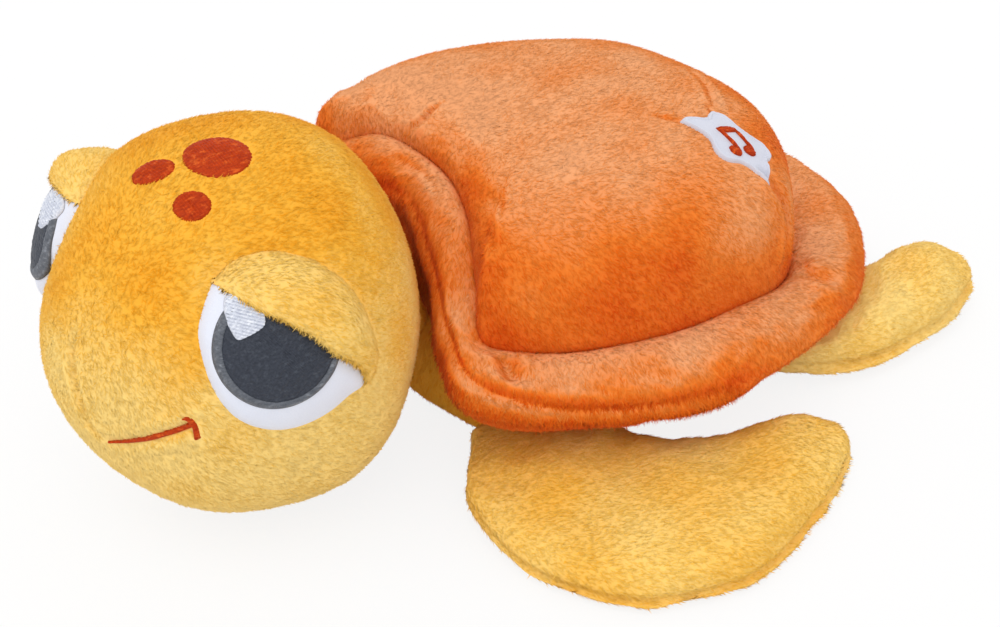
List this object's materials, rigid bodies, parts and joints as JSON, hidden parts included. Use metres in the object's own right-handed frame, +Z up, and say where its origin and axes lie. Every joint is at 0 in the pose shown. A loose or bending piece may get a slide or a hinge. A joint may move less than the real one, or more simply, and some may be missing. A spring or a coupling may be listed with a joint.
{
  "type": "plush sea turtle",
  "caption": "Stuffed sea turtle lying on its belly, with a domed shell, puffy rim, half-lidded eyes, swinging flippers and a press-to-play sound unit under a shell badge.",
  "frame": {"origin": "on the ground, under the middle of the whole turtle's outline", "axes": "+Z up, -Y towards the face, +X towards the turtle's own left"},
  "size_m": [0.284, 0.3334, 0.1327],
  "materials": {
    "plush_yellow": "short soft pile",
    "plush_orange": "short soft pile, longer at the rim",
    "stuffing": "loose polyester fibre",
    "eye_white": "smooth knitted cloth",
    "eye_iris": "matt embroidery",
    "eye_ring": "satin embroidery",
    "eye_glint": "satin embroidery in a silvery thread",
    "embroidery_red": "satin embroidery",
    "badge_white": "smooth cloth",
    "pale_plastic": "moulded",
    "dark_plastic": "moulded",
    "board_green": "coated board",
    "sounder": "satin",
    "steel": "plated"
  },
  "bodies": {
    "body": {"shell_dome": "plush_orange", "shell_rim": "plush_orange", "belly_cover": "plush_yellow", "body_filling": "stuffing", "badge_patch": "badge_white", "badge_notes": "embroidery_red", "sound_case": "pale_plastic", "sound_lid": "pale_plastic", "circuit_board": "board_green", "press_switch": "dark_plastic", "speaker": "sounder", "button_cell_1": "steel", "button_cell_2": "steel", "button_cell_3": "steel", "battery_hatch": "pale_plastic", "hatch_screw": "steel"},
    "neck": {"neck": "plush_yellow"},
    "head": {"head_cover": "plush_yellow", "head_filling": "stuffing", "eye_white_left": "eye_white", "eye_white_right": "eye_white", "eyelid_left": "plush_yellow", "eyelid_right": "plush_yellow", "iris_left": "eye_iris", "iris_right": "eye_iris", "iris_edge_left": "eye_ring", "iris_edge_right": "eye_ring", "eye_glint_left": "eye_glint", "eye_glint_right": "eye_glint", "forehead_spot_middle": "embroidery_red", "forehead_spot_right": "embroidery_red", "forehead_spot_left": "embroidery_red", "mouth_stitch": "embroidery_red"},
    "sound_button": {"sound_button": "dark_plastic"},
    "front_flipper_left": {"front_flipper_left": "plush_yellow", "front_flipper_filling_left": "stuffing"},
    "front_flipper_right": {"front_flipper_right": "plush_yellow", "front_flipper_filling_right": "stuffing"},
    "rear_flipper_left": {"rear_flipper_left": "plush_yellow", "rear_flipper_filling_left": "stuffing"},
    "rear_flipper_right": {"rear_flipper_right": "plush_yellow", "rear_flipper_filling_right": "stuffing"}
  },
  "joints": [
    {"name": "head_turn", "type": "hinge", "parent": "body", "child": "neck", "pos_m": [0, -0.05096, 0.042], "axis": [0, 0, 1], "range_deg": [-35, 2], "stiffness_Nm_per_rad": 0.3},
    {"name": "head_nod", "type": "hinge", "parent": "neck", "child": "head", "pos_m": [0, -0.05096, 0.042], "axis": [-0.9171, -0.3987, 0], "range_deg": [-15, 3], "stiffness_Nm_per_rad": 0.6},
    {"name": "front_flap_left", "type": "hinge", "parent": "body", "child": "front_flipper_left", "pos_m": [0.05748, -0.01456, 0.013], "axis": [-0.2906, -0.9568, 0], "range_deg": [-30, 12], "stiffness_Nm_per_rad": 0.12},
    {"name": "front_flap_right", "type": "hinge", "parent": "body", "child": "front_flipper_right", "pos_m": [-0.05748, -0.01456, 0.013], "axis": [-0.2906, 0.9568, 0], "range_deg": [-30, 12], "stiffness_Nm_per_rad": 0.12},
    {"name": "rear_flap_left", "type": "hinge", "parent": "body", "child": "rear_flipper_left", "pos_m": [0.04601, 0.08085, 0.013], "axis": [0.7049, -0.7093, 0], "range_deg": [-25, 3], "stiffness_Nm_per_rad": 0.06},
    {"name": "rear_flap_right", "type": "hinge", "parent": "body", "child": "rear_flipper_right", "pos_m": [-0.04601, 0.08085, 0.013], "axis": [0.7049, 0.7093, 0], "range_deg": [-25, 3], "stiffness_Nm_per_rad": 0.06},
    {"name": "sound_press", "type": "slide", "parent": "body", "child": "sound_button", "axis": [-0.3012, -0.2896, -0.9085], "range_m": [0, 0.002], "stiffness_N_per_m": 1500}
  ]
}
